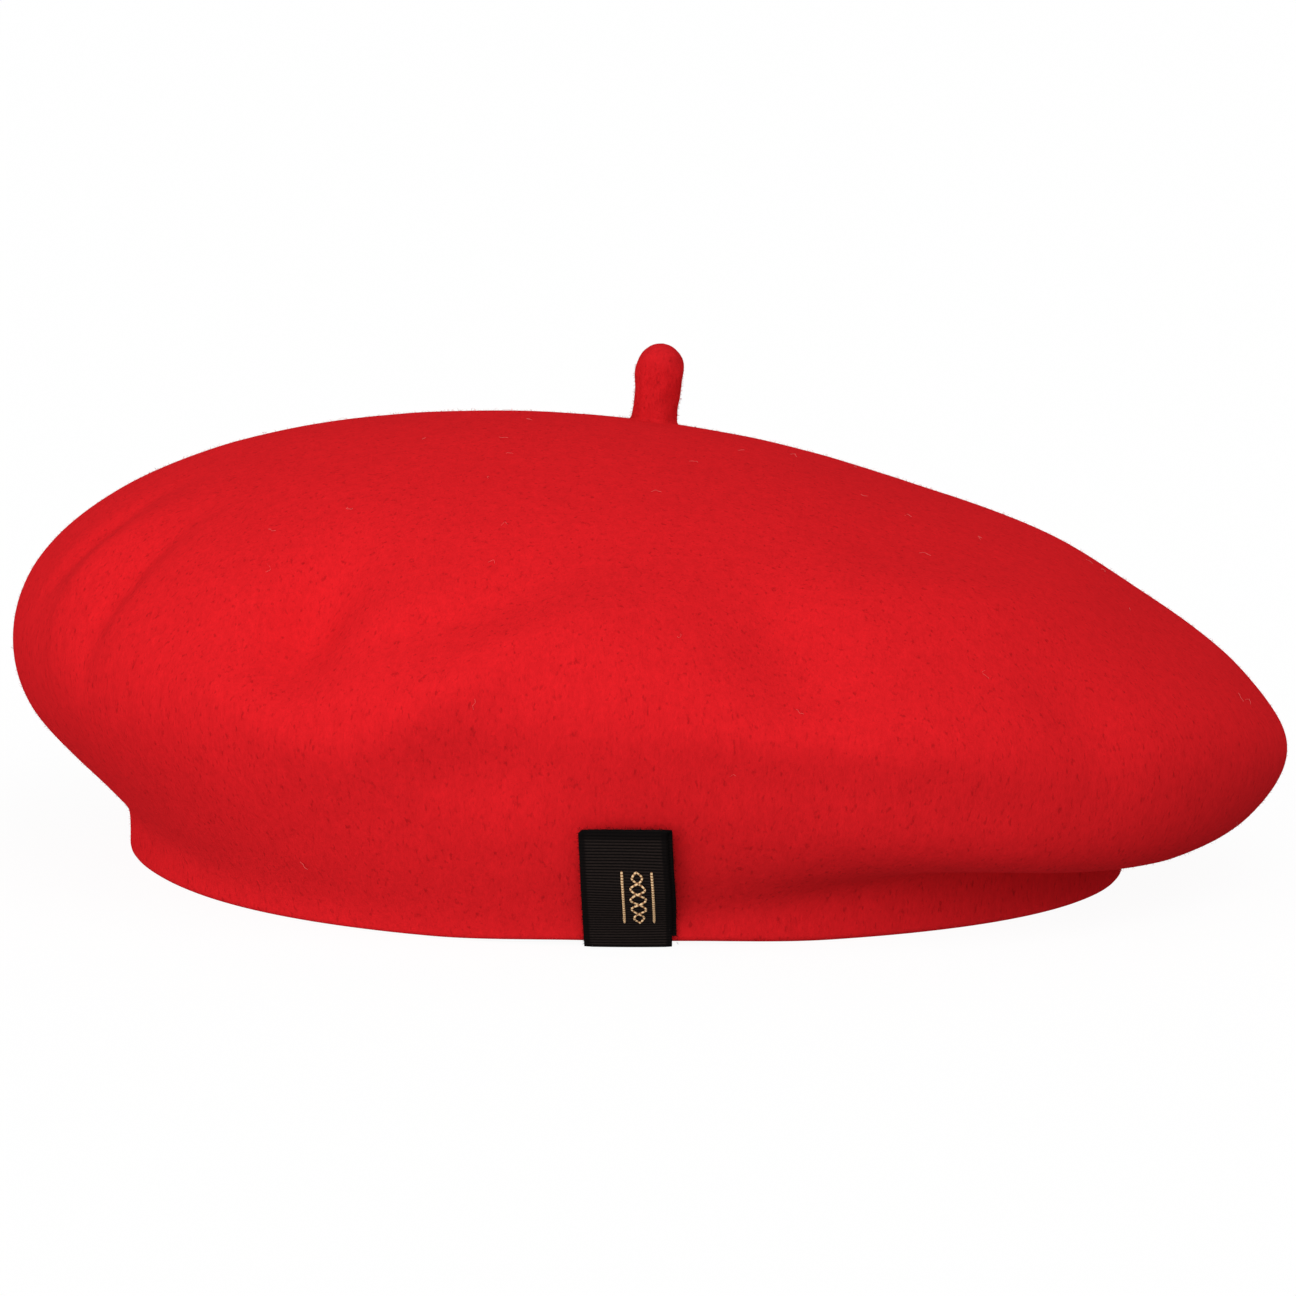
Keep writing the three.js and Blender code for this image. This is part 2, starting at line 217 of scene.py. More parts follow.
def evenly_spaced(path, count):
    """The same lines resampled at equal lengths: each sample lies between the two points whose
    running lengths enclose it. Returns the points and each line's whole length."""
    steps = np.linalg.norm(np.diff(path, axis=1), axis=-1)
    run = np.concatenate([np.zeros((len(path), 1)), np.cumsum(steps, 1)], 1)
    wanted = np.linspace(0, 1, count)[None] * run[:, -1:]
    after = (run[:, None, 1:-1] <= wanted[..., None]).sum(-1)
    low = np.take_along_axis(run, after, 1)
    high = np.take_along_axis(run, after + 1, 1)
    share = ((wanted - low) / (high - low))[..., None]
    first = np.take_along_axis(path, after[..., None], 1)
    second = np.take_along_axis(path, after[..., None] + 1, 1)
    return first + (second - first) * share, run[:, -1]


def plain_felt(phi, rows):
    """The undented outer face: each line is a cubic from the stalk's foot to the brow, a cubic
    back under it to the neck and a straight band to the rim, softened by averaging neighbours."""
    out = np.stack([np.cos(phi), np.sin(phi), 0 * phi], -1)
    rim = out * rim_radius(phi)[:, None]
    reach = OVERHANG * around("reach", phi)
    brow_level = BROW_HEIGHT * around("brow", phi)
    neck_level = BAND_HEIGHT * around("neck", phi)
    tuck = np.radians(around("tuck", phi))
    ease = around("under_ease", phi)
    brow = rim + out * reach[:, None] + UP * brow_level[:, None]
    neck = rim + UP * neck_level[:, None]
    foot = np.broadcast_to(STALK_FOOT, brow.shape)
    flat = (brow - foot) * (1, 1, 0)
    flat = flat + UP * (flat @ TOP_SLOPE)[:, None]
    crown_handle = foot + flat * around("crown_ease", phi)[:, None]
    brow_lift = around("brow_ease", phi) * (CROWN_HEIGHT - brow_level)
    brow_handle = brow + UP * brow_lift[:, None]
    under_handle = brow - UP * (ease * (brow_level - neck_level))[:, None]
    climb = out * np.cos(tuck)[:, None] + UP * np.sin(tuck)[:, None]
    neck_handle = neck + climb * (ease * reach)[:, None]
    top = cubic(foot, crown_handle, brow_handle, brow, TOP_SAMPLES)
    under = cubic(brow, under_handle, neck_handle, neck, UNDER_SAMPLES)
    band = cubic(neck, neck, rim, rim, BAND_SAMPLES)
    points, length = evenly_spaced(np.concatenate([top, under[:, 1:], band[:, 1:]], 1), rows)
    for _ in range(SOFTENING_ROUNDS):
        middle = points[:, 1:-1] * 0.5 + (points[:, :-2] + points[:, 2:]) * 0.25
        points = np.concatenate([points[:, :1], middle, points[:, -1:]], 1)
    return points, length


def grid_normals(points):
    """Outward normals of a grid that closes round its columns: the cross product of the step down
    and the step round. The pole takes the slope of the felt under the stalk."""
    round_step = np.roll(points, -1, 0) - np.roll(points, 1, 0)
    down_step = np.gradient(points, axis=1)
    normals = np.cross(down_step, round_step)
    normals[:, 0] = UP - TOP_SLOPE
    return normals / np.linalg.norm(normals, axis=-1, keepdims=True)


def wrapped(angle):
    """The same angle between minus and plus half a turn."""
    return (angle + math.pi) % TURN - math.pi


def dent_height(phi, down, radius, length):
    """Height of the folds over the plain felt: for each row of DENTS a Gaussian exp(-along^2 -
    aside^2), with along and aside measured on the felt in the fold's own turned frame."""
    angle, middle, turn, long, wide, bend, depth = DENTS.T
    turn = np.radians(turn)
    level = wrapped(phi[..., None] - np.radians(angle)) * radius[..., None] / DENT_SPAN
    fall = (down[..., None] - middle) * length[..., None] / DENT_SPAN
    along = (level * np.cos(turn) + fall * np.sin(turn)) / long
    aside = (fall * np.cos(turn) - level * np.sin(turn)) / wide
    bent = aside - bend * along ** 2
    return DENT_DEPTH * (depth * np.exp(-along ** 2 - bent ** 2)).sum(-1)


def wave_height(points):
    """Soft unevenness: a sum of products of three sines of x, y and z."""
    height = 0
    for x_length, y_length, z_length, phase, size in WAVES:
        wave = np.sin(TURN * points[..., 0] / x_length + phase)
        wave = wave * np.sin(TURN * points[..., 1] / y_length + 2 * phase)
        height = height + size * wave * np.sin(TURN * points[..., 2] / z_length + 3 * phase)
    return height


def rim_lift(phi):
    """How far the rim is lifted where one layer of ribbon passes under it."""
    side = np.abs(wrapped(phi - TAB_ANGLE)) * rim_radius(phi)
    share = np.clip((side - TAB_WIDTH / 2) / RIM_FADE, 0, 1)
    return (LAYER + TAB_GAP + RIB_DEPTH / 2) * (1 - share ** 2 * (3 - 2 * share))


class Felt:
    """The felt's outer face on a grid: plain and dented points, and the dented face's normals."""

    def __init__(self, columns, rows):
        self.phi = np.linspace(0, TURN, columns, endpoint=False)
        self.down = np.linspace(0, 1, rows)
        base, length = plain_felt(self.phi, rows)
        self.plain = base
        phi = self.phi[:, None] + 0 * base[..., 0]
        down = self.down[None] + 0 * base[..., 0]
        foot = STALK_FOOT[:2] * (1 - down[..., None])
        radius = np.linalg.norm(base[..., :2] - foot, axis=-1)
        length = length[:, None] + 0 * radius
        near_top = np.clip(down / WAVE_FADE, 0, 1)
        height = dent_height(phi, down, radius, length)
        height = height + wave_height(base) * near_top * np.clip((1 - down) / WAVE_FADE, 0, 1)
        self.points = base + grid_normals(base) * height[..., None]
        self.normals = grid_normals(self.points)

    def face(self, lift, rows, edge=0.0):
        """The rows chosen, lifted along the normals, with the rim's height raised by edge and by
        the ribbon's lift, which dies out up the band."""
        points = self.points[:, rows] + self.normals[:, rows] * lift
        near_rim = np.clip(1 - points[..., 2] / BAND_HEIGHT, 0, 1)
        raised = (rim_lift(self.phi)[:, None] + edge) * near_rim
        return points + UP * raised[..., None]

    def place(self, across, level, lift):
        """Points at across along the tab's width, level up from the rim and lift out from the felt,
        leaning by a shear of both. Each sits where the plain felt has come down to its level, read
        between the grid's four nearest points; below the rim it drops straight."""
        line = self.plain[int(TAB_ANGLE / TURN * len(self.phi)), ::-1]
        radius = np.interp(level, line[:, 2], np.hypot(line[:, 0], line[:, 1]))
        lean = math.tan(TAB_LEAN)
        phi = TAB_ANGLE + (across - lean * level) / radius
        height = level + lean * across * np.clip(level / TAB_HEIGHT, 0, 1)
        column = phi / TURN * len(self.phi)
        i = np.floor(column).astype(int)
        u = (column - i)[..., None]
        after = i + 1
        heights = self.plain[i, :, 2] * (1 - u) + self.plain[after, :, 2] * u
        j = (heights > height[..., None]).sum(-1, keepdims=True) - 1
        j = np.clip(j, 0, len(self.down) - 2)
        high = np.take_along_axis(heights, j, -1)
        low = np.take_along_axis(heights, j + 1, -1)
        v = np.clip((high - height[..., None]) / (high - low), 0, 1)
        j = j[..., 0]

        def between(grid):
            low = grid[i, j] * (1 - v) + grid[i, j + 1] * v
            high = grid[after, j] * (1 - v) + grid[after, j + 1] * v
            return low * (1 - u) + high * u

        points = between(self.points) + between(self.normals) * lift[..., None]
        near_rim = np.clip(1 - points[..., 2] / BAND_HEIGHT, 0, 1)
        raised = rim_lift(phi) * near_rim + np.minimum(level, 0)
        return points + UP * raised[..., None]


felt = Felt(FELT_COLUMNS, FELT_ROWS)

# The row frame's origin is under the middle of the beret's outline.
crown_low, crown_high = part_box("crown")
outline = felt.points.reshape(-1, 3)
middle = (outline.min(0) + outline.max(0)) / 2
SHIFT = np.array([
    (crown_low.x + crown_high.x) / 2 - middle[0] * MM,
    (crown_low.y + crown_high.y) / 2 - middle[1] * MM,
    0.0,
])


def to_row(points):
    """Millimetres in the beret's own frame to metres in the row frame."""
    return points * MM + SHIFT


def make_piece(name, points, quads, triangles=None, smooth=True, uv=None):
    """A mesh object from arrays: points in millimetres, quads and triangles as rows of corners,
    and uv as one pair for each point. It rides on the root body."""
    mesh = bpy.data.meshes.new(name)
    triangles = np.zeros((0, 3), int) if triangles is None else triangles
    corners = np.concatenate([quads.ravel(), triangles.ravel()]).astype(np.int32)
    sizes = np.repeat([4, 3], [len(quads), len(triangles)])
    starts = np.concatenate([[0], np.cumsum(sizes)[:-1]]).astype(np.int32)
    mesh.vertices.add(len(points))
    mesh.vertices.foreach_set("co", to_row(points).astype(np.float32).ravel())
    mesh.loops.add(len(corners))
    mesh.loops.foreach_set("vertex_index", corners)
    mesh.polygons.add(len(sizes))
    mesh.polygons.foreach_set("loop_start", starts)
    mesh.polygons.foreach_set("loop_total", sizes.astype(np.int32))
    mesh.polygons.foreach_set("use_smooth", np.full(len(sizes), smooth))
    mesh.update(calc_edges=True)
    if uv is not None:
        layer = mesh.uv_layers.new(name="UVMap")
        layer.data.foreach_set("uv", uv[corners].astype(np.float32).ravel())
    piece = bpy.data.objects.new(name, mesh)
    bpy.context.scene.collection.objects.link(piece)
    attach(piece, "root")
    return piece


def round_quads(columns, rows, start=0):
    """Faces of a grid that closes round its columns, stored column by column."""
    i, j = np.meshgrid(np.arange(columns), np.arange(rows - 1), indexing="ij")
    after = (i + 1) % columns
    corners = [i * rows + j, i * rows + j + 1, after * rows + j + 1, after * rows + j]
    return start + np.stack(corners, -1).reshape(-1, 4)


def open_quads(columns, rows, start=0):
    """Faces of a grid that doesn't close, stored column by column."""
    i, j = np.meshgrid(np.arange(columns - 1), np.arange(rows - 1), indexing="ij")
    corners = [i * rows + j, i * rows + j + 1, (i + 1) * rows + j + 1, (i + 1) * rows + j]
    return start + np.stack(corners, -1).reshape(-1, 4)


def crown_piece():
    """The felt body: the outer face from the pole down, a half round edge about the middle of the
    wall, and the inner face back up to its own pole, as one grid that closes round its columns."""
    edge = FELT / 2
    outer = felt.face(0, np.arange(1, FELT_ROWS), edge)
    inner_rows = np.linspace(FELT_ROWS - 1, 2, INNER_ROWS).round().astype(int)
    inner = felt.face(-FELT, inner_rows, edge)
    angle = np.linspace(0, math.pi, RIM_ROWS + 2)[None, 1:-1, None]
    centre = (outer[:, -1:] + inner[:, :1]) / 2
    side = outer[:, -1:] - centre
    rim = centre + side * np.cos(angle) - UP * edge * np.sin(angle)
    grid = np.concatenate([outer, rim, inner], 1)
    rows = grid.shape[1]
    poles = np.stack([felt.points[0, 0], felt.points[0, 0] - felt.normals[0, 0] * FELT])
    points = np.concatenate([grid.reshape(-1, 3), poles])
    quads = round_quads(FELT_COLUMNS, rows)
    i = np.arange(FELT_COLUMNS)
    after = (i + 1) % FELT_COLUMNS
    top = np.stack([np.full_like(i, len(points) - 2), i * rows, after * rows], -1)
    last = rows - 1
    under = np.stack([np.full_like(i, len(points) - 1), after * rows + last, i * rows + last], -1)
    piece = make_piece("felt_crown", points, quads, np.concatenate([top, under]))
    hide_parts("crown")
    return piece


def smooth_profile(table, count):
    """A profile through a table's rows, resampled along its length by a Catmull-Rom spline."""
    padded = np.concatenate([2 * table[:1] - table[1:2], table, 2 * table[-1:] - table[-2:-1]])
    t = np.linspace(0, len(table) - 1, count)
    i = np.minimum(t.astype(int), len(table) - 2)
    f = (t - i)[:, None]
    a, b, c, d = padded[i], padded[i + 1], padded[i + 2], padded[i + 3]
    cubic_part = (-a + 3 * b - 3 * c + d) * f ** 3 + (2 * a - 5 * b + 4 * c - d) * f ** 2
    return 0.5 * (cubic_part + (c - a) * f + 2 * b)


STALK_AXIS = (UP - TOP_SLOPE) / np.linalg.norm(UP - TOP_SLOPE)
STALK_SIDE = np.cross(UP, STALK_AXIS) / np.linalg.norm(np.cross(UP, STALK_AXIS))
STALK_BACK = np.cross(STALK_AXIS, STALK_SIDE)


def stalk_points(turn, up, radius):
    """Points round the stalk's axis: foot + axis height + radius (side cos + back sin), with the
    radius a little uneven, as felted wool is."""
    uneven = 1 + 0.018 * np.sin(3 * turn + 9 * up) + 0.012 * np.sin(5 * turn - 17 * up + 1)
    reach = radius * STALK_RADIUS * uneven
    out = STALK_SIDE * np.cos(turn)[..., None] + STALK_BACK * np.sin(turn)[..., None]
    return STALK_FOOT + STALK_AXIS * (up * STALK_HEIGHT)[..., None] + out * reach[..., None]


def stalk_piece():
    """The stalk: its profile turned about its leaning axis, closed by a pole on top and a flat
    fan under the foot."""
    columns = 96
    profile = smooth_profile(STALK_PROFILE, STALK_SAMPLES)[:-1]
    turn = np.linspace(0, TURN, columns, endpoint=False)[:, None] + 0 * profile[None, :, 0]
    up = profile[None, :, 0] + 0 * turn
    radius = np.clip(profile[None, :, 1], 0, None) + 0 * turn
    grid = stalk_points(turn, up, radius)[:, ::-1]
    rows = grid.shape[1]
    ends = np.stack([
        STALK_FOOT + STALK_AXIS * STALK_HEIGHT,
        STALK_FOOT + STALK_AXIS * STALK_PROFILE[0, 0] * STALK_HEIGHT,
    ])
    points = np.concatenate([grid.reshape(-1, 3), ends])
    i = np.arange(columns)
    after = (i + 1) % columns
    top = np.stack([np.full_like(i, len(points) - 2), i * rows, after * rows], -1)
    last = rows - 1
    foot = np.stack([np.full_like(i, len(points) - 1), after * rows + last, i * rows + last], -1)
    piece = make_piece("felted_stalk", points, round_quads(columns, rows), np.concatenate([top, foot]))
    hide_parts("stalk")
    return piece


def arc(centre, radius, start, end, count):
    """Points (lift, level) on a circle's arc, its angles in quarter turns."""
    angle = np.linspace(start, end, count) * math.pi / 2
    return centre + radius * np.stack([np.cos(angle), np.sin(angle)], -1)


def ribbon_path():
    """The folded ribbon's middle line as (lift from the felt, level above the rim): up behind,
    over the fold, down in front, round under the rim and up inside."""
    half = LAYER / 2
    back = TAB_GAP + half
    front = back + LAYER
    fold_middle = np.array([[back + half, TAB_HEIGHT - LAYER]])
    outer_edge = np.array([[0.0, 0.0]])
    inner_edge = np.array([[-FELT, 0.0]])
    under = TAB_GAP + half
    pieces = [
        np.array([[back, BACK_FOOT]]),
        arc(fold_middle, half, 2, 0, 9),
        np.array([[front, 4.0], [front - 0.3 * LAYER, 1.5]]),
        arc(outer_edge, under, 0, -1, 7),
        arc(inner_edge, under, -1, -2, 7),
        np.array([[-FELT - under, TAB_INNER_HEIGHT]]),
    ]
    return np.concatenate(pieces)


def stand_off(across, level):
    """How far the tab's outer leg stands away from the felt: it grows smoothly up from the band,
    and more towards the tab's right-hand edge."""
    up = np.clip((level - STAND_OFF_START) / STAND_OFF_CLIMB, 0, 1)
    right = np.clip(0.5 + across / TAB_WIDTH, 0, 1)
    return STAND_OFF * up ** 2 * (3 - 2 * up) * (LEFT_SHARE + (1 - LEFT_SHARE) * right)


def ribbon_piece():
    """The ribbon: its middle line at even steps, thickened both ways along the line's normal in
    the plane of lift and level, with ribs as |sin| ridges that cross it, and carried across the
    tab's width. The layer behind sits a little to the right, so that its edge shows past the
    front one, and the ribs die out in a smooth selvedge at both edges."""
    columns = 36
    rows = 900
    middle_line, length = evenly_spaced(ribbon_path()[None], rows)
    middle_line = middle_line[0]
    along = np.linspace(0, length[0], rows)
    tangent = np.gradient(middle_line, axis=0)
    tangent = tangent / np.linalg.norm(tangent, axis=1, keepdims=True)
    side = np.stack([-tangent[:, 1], tangent[:, 0]], -1)
    rib = np.abs(np.sin(math.pi * along / RIB_PITCH)) - 0.5
    width = np.linspace(-0.5, 0.5, columns)[:, None]
    ribbed = np.clip((LAYER_WIDTH * (0.5 - np.abs(width)) - SELVEDGE + 0.3) / 0.6, 0, 1)
    half = LAYER / 2 + RIB_DEPTH * rib[None] * ribbed
    behind = np.clip((TAB_HEIGHT - BACK_FOOT - along) / FOLD_FADE, -1, 1)
    across = width * LAYER_WIDTH + (TAB_WIDTH - LAYER_WIDTH) / 2 * behind[None]
    faces = []
    for sign in (1, -1):
        edge = 1 - 0.25 * (2 * np.abs(width)) ** 12
        offset = middle_line[None] + side[None] * (sign * half * edge)[..., None]
        lift = offset[..., 0]
        away = stand_off(across, offset[..., 1]) * (lift > 0)
        faces.append(felt.place(across, offset[..., 1], lift + away))
    count = columns * rows
    outer = open_quads(columns, rows)
    inner = open_quads(columns, rows, count)[:, ::-1]
    j = np.arange(rows - 1)
    left = np.stack([j, count + j, count + j + 1, j + 1], -1)
    shift = (columns - 1) * rows
    right = np.stack([j + shift, j + shift + 1, count + shift + j + 1, count + shift + j], -1)
    i = np.arange(columns - 1) * rows
    first = np.stack([i, i + rows, count + i + rows, count + i], -1)
    tail = rows - 1
    end = np.stack([i + tail, count + i + tail, count + i + rows + tail, i + rows + tail], -1)
    quads = np.concatenate([outer, inner, left, right, first, end])
    points = np.concatenate([faces[0].reshape(-1, 3), faces[1].reshape(-1, 3)])
    u = np.broadcast_to(width * LAYER_WIDTH, (columns, rows))
    v = np.broadcast_to(along[None], (columns, rows))
    uv = np.stack([u, v], -1).reshape(-1, 2)
    piece = make_piece("folded_ribbon", points, quads, uv=np.concatenate([uv, uv]))
    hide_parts("ribbon_tab")
    return piece


def thread(across, level, over, radius):
    """A round embroidery thread: rings about the line (across, level) in the plane of the line's
    sideways normal and the tab's own, over being its height off the ribbon. It thins at its ends,
    and each end closes in a point."""
    t = np.linspace(0, 1, THREAD_ROWS)
    run = np.stack([np.gradient(across), np.gradient(level)], -1)
    run = run / np.linalg.norm(run, axis=-1, keepdims=True)
    ring = np.arange(THREAD_SIDES)[:, None] * TURN / THREAD_SIDES
    size = radius * (1 - 0.8 * np.abs(2 * t - 1) ** 40)
    beside = size * np.cos(ring)
    ring_across = across - run[:, 1] * beside
    ring_level = level + run[:, 0] * beside
    face = TAB_GAP + 2 * LAYER + stand_off(ring_across, ring_level)
    ends = np.array([0, -1])
    tips = felt.place(across[ends], level[ends], (face[0] + over)[ends])
    points = felt.place(ring_across, ring_level, face + over + size * np.sin(ring))
    return np.concatenate([points.reshape(-1, 3), tips])


def embroidery_piece():
    """A plain plait of two gold threads, each a sine across the tab that swings over and under the
    other, between two straight rows of stitches."""
    t = np.linspace(0, 1, THREAD_ROWS)
    low, high = PLAIT_LEVELS
    swing = TURN * PLAIT_TURNS * t
    taper = np.sin(math.pi * t) ** 0.4
    lines = []
    for sign in (1, -1):
        across = PLAIT_MIDDLE + sign * PLAIT_HALF * taper * np.sin(swing)
        over = 0.1 + 0.12 * sign * np.cos(2 * swing)
        lines.append(thread(across, low + (high - low) * t, over, THREAD_RADIUS))
    for sign in (1, -1):
        across = PLAIT_MIDDLE + sign * ROW_OFFSET + 0 * t
        lines.append(thread(across, low + (high - low) * t, 0.05 + 0 * t, ROW_RADIUS))
    count = THREAD_SIDES * THREAD_ROWS
    i = np.arange(THREAD_SIDES) * THREAD_ROWS
    after = np.roll(i, -1)
    last = THREAD_ROWS - 1
    first_cap = np.stack([np.full_like(i, count), after, i], -1)[:, ::-1]
    last_cap = np.stack([np.full_like(i, count + 1), i + last, after + last], -1)[:, ::-1]
    caps = np.concatenate([first_cap, last_cap])
    starts = np.arange(len(lines))[:, None, None] * (count + 2)
    quads = round_quads(THREAD_SIDES, THREAD_ROWS)[:, ::-1]
    v = np.concatenate([np.tile(t * (PLAIT_LEVELS[1] - PLAIT_LEVELS[0]), THREAD_SIDES), [0, 0]])
    uv = np.stack([0 * v, v], -1)
    piece = make_piece(
        "gold_embroidery",
        np.concatenate(lines),
        (starts + quads).reshape(-1, 4),
        (starts + caps).reshape(-1, 3),
        uv=np.tile(uv, (len(lines), 1)),
    )
    return piece


def sprout(roots, normals, random, length, width, lean, curl):
    """Loose fibres as thin strips of two quads: each runs from its root along a mix of the normal
    and a random tangent, bending over by curl, and is as wide as width at the root."""
    amount = len(roots)
    loose = random.normal(size=(amount, 3))
    tangent = loose - normals * (loose * normals).sum(-1, keepdims=True)
    tangent = tangent / np.linalg.norm(tangent, axis=-1, keepdims=True)
    start = normals * (1 - lean)[:, None] + tangent * lean[:, None]
    start = start / np.linalg.norm(start, axis=-1, keepdims=True)
    bent = start * (1 - curl) + tangent * curl
    bent = bent / np.linalg.norm(bent, axis=-1, keepdims=True)
    across = np.cross(start, normals + 0.3 * loose)
    across = across / np.linalg.norm(across, axis=-1, keepdims=True)
    half = (length / 2)[:, None]
    centre = np.stack([roots, roots + start * half, roots + (start + bent) * half], 1)
    spread = (width[:, None] * np.array([1.0, 0.8, 0.25]))[..., None] * across[:, None]
    points = np.stack([centre - spread / 2, centre + spread / 2], 2).reshape(-1, 3)
    first = np.arange(amount)[:, None, None] * 6 + np.arange(2)[None, :, None] * 2
    quads = first + np.array([0, 1, 3, 2])
    return points, quads.reshape(-1, 4)


def crown_nap():
    """Short fibres over the whole outer face, their roots spread evenly by area: a random draw of
    grid cells weighted by cell area, each placed at random inside its cell."""
    random = np.random.default_rng(5)
    points = felt.face(0, np.arange(FELT_ROWS), FELT / 2)
    step_round = np.roll(points, -1, 0)[:, :-1] - points[:, :-1]
    step_down = points[:, 1:] - points[:, :-1]
    area = np.linalg.norm(np.cross(step_round, step_down), axis=-1).ravel()
    cell = random.choice(len(area), NAP_FIBRES, p=area / area.sum())
    i, j = np.unravel_index(cell, step_round.shape[:2])
    u = random.random((len(cell), 1))
    v = random.random((len(cell), 1))
    roots = points[i, j] + step_round[i, j] * u + step_down[i, j] * v
    normals = felt.normals[i, j]
    length = random.uniform(0.5, 1.3, len(cell))
    width = random.uniform(0.03, 0.06, len(cell))
    lean = random.uniform(0.45, 0.9, len(cell))
    fibres, quads = sprout(roots - normals * 0.05, normals, random, length, width, lean, 0.6)
    piece = make_piece("felt_nap", fibres, quads)
    return piece


def stalk_nap():
    """Fuzz on the stalk's sides, thick enough to roughen its outline and thin on its smooth
    dome."""
    random = np.random.default_rng(8)
    amount = 2600
    turn = random.uniform(0, TURN, amount)
    up = random.beta(1.1, 1.6, amount) * 0.95
    profile = smooth_profile(STALK_PROFILE, STALK_SAMPLES)
    radius = np.interp(up, profile[:, 0], profile[:, 1])
    roots = stalk_points(turn, up, radius)
    normals = STALK_SIDE * np.cos(turn)[:, None] + STALK_BACK * np.sin(turn)[:, None]
    normals = normals + STALK_AXIS * np.clip((up - 0.7) * 3, 0, 1)[:, None]
    normals = normals / np.linalg.norm(normals, axis=-1, keepdims=True)
    length = random.uniform(0.2, 0.8, amount) * (1 - 0.6 * np.clip((up - 0.55) * 4, 0, 1))
    width = random.uniform(0.03, 0.06, amount)
    lean = random.uniform(0.2, 0.8, amount)
    fibres, quads = sprout(roots, normals, random, length, width, lean, 0.4)
    piece = make_piece("stalk_nap", fibres, quads)
    return piece


def ribbon_fuzz():
    """Black lint along the tab's fold and its two edges: roots at random on those three lines."""
    random = np.random.default_rng(13)
    amount = 700
    half = TAB_WIDTH / 2
    edge = random.integers(0, 3, amount)
    share = random.random(amount)
    across = np.where(edge == 0, (2 * share - 1) * half, np.where(edge == 1, -half, half))
    level = np.where(edge == 0, TAB_HEIGHT, share * TAB_HEIGHT)
    lift = random.uniform(TAB_GAP, TAB_GAP + 2 * LAYER, amount) + stand_off(across, level)
    roots = felt.place(across, level, lift)
    aside = np.where(edge == 0, 0, across)
    normals = felt.place(across + np.sign(aside), level + (edge == 0), lift) - roots
    normals = normals / np.linalg.norm(normals, axis=-1, keepdims=True)
    length = random.uniform(0.2, 0.7, amount)
    width = random.uniform(0.04, 0.07, amount)
    lean = random.uniform(0.2, 0.8, amount)
    fibres, quads = sprout(roots, normals, random, length, width, lean, 0.5)
    piece = make_piece("ribbon_fuzz", fibres, quads)
    return piece


def stray_fibres():
    """A few long pale fibres lying on the felt: each is a thin three-sided tube along a curve
    whose direction turns steadily in the tangent plane, worked out for all of them at once."""
    random = np.random.default_rng(21)
    amount = 60
    steps = 16
    columns = random.integers(0, FELT_COLUMNS, amount)
    rows = random.integers(int(0.15 * FELT_ROWS), int(0.95 * FELT_ROWS), amount)
    roots = felt.points[columns, rows]
    normals = felt.normals[columns, rows]
    loose = random.normal(size=(amount, 3))
    east = loose - normals * (loose * normals).sum(-1, keepdims=True)
    east = east / np.linalg.norm(east, axis=-1, keepdims=True)
    north = np.cross(normals, east)
    length = random.uniform(1.0, 3.2, amount)
    turning = random.normal(0, 2.6, amount)
    t = np.linspace(0, 1, steps)[None]
    heading = turning[:, None] * t + 0.6 * np.sin(9 * t + turning[:, None])
    run = length[:, None] / (steps - 1)
    x = np.cumsum(np.cos(heading) * run, 1)
    y = np.cumsum(np.sin(heading) * run, 1)
    lift = 0.12 + 0.35 * np.sin(math.pi * t) * random.random((amount, 1))
    centre = roots[:, None] + east[:, None] * x[..., None] + north[:, None] * y[..., None]
    centre = centre + normals[:, None] * lift[..., None]
    ring = np.arange(3) * TURN / 3
    offset = np.cos(ring)[:, None] * normals[:, None, None] + np.sin(ring)[:, None] * north[:, None, None]
    points = centre[:, :, None] + 0.028 * offset
    a, s, k = np.meshgrid(np.arange(amount), np.arange(steps - 1), np.arange(3), indexing="ij")
    after = (k + 1) % 3
    low = (a * steps + s) * 3
    quads = np.stack([low + k, low + after, low + 3 + after, low + 3 + k], -1).reshape(-1, 4)
    piece = make_piece("stray_fibres", points.reshape(-1, 3), quads)
    return piece


def new_material(name):
    """An empty node material: returns it, its tree, its shader and an adder of nodes."""
    material = bpy.data.materials.new(name)
    material.use_nodes = True
    tree = material.node_tree
    shader = tree.nodes["Principled BSDF"]

    def add(kind, inputs=(), **settings):
        node = tree.nodes.new(kind)
        for key, value in settings.items():
            setattr(node, key, value)
        for key, value in dict(inputs).items():
            if isinstance(value, bpy.types.NodeSocket):
                tree.links.new(value, node.inputs[key])
            else:
                node.inputs[key].default_value = value
        return node

    return material, tree, shader, add


def noise(add, vector, scale, detail=3.0, roughness=0.55):
    """A noise texture's value at a scale in patterns per metre."""
    inputs = {"Vector": vector, "Scale": scale, "Detail": detail, "Roughness": roughness}
    return add("ShaderNodeTexNoise", inputs).outputs["Fac"]


def scaled_sum(add, terms, base):
    """base plus the sum of (value - 0.5) times weight."""
    total = None
    for value, weight in terms:
        start = base if total is None else total
        less = add("ShaderNodeMath", {0: value, 1: 0.5}, operation="SUBTRACT").outputs[0]
        inputs = {0: less, 1: weight, 2: start}
        total = add("ShaderNodeMath", inputs, operation="MULTIPLY_ADD").outputs[0]
    return total


def stepped(add, value, low, high, start, end):
    """A smooth change from start to end while value runs from low to high."""
    inputs = {"Value": value, "From Min": low, "From Max": high, "To Min": start, "To Max": end}
    return add("ShaderNodeMapRange", inputs, interpolation_type="SMOOTHSTEP").outputs["Result"]


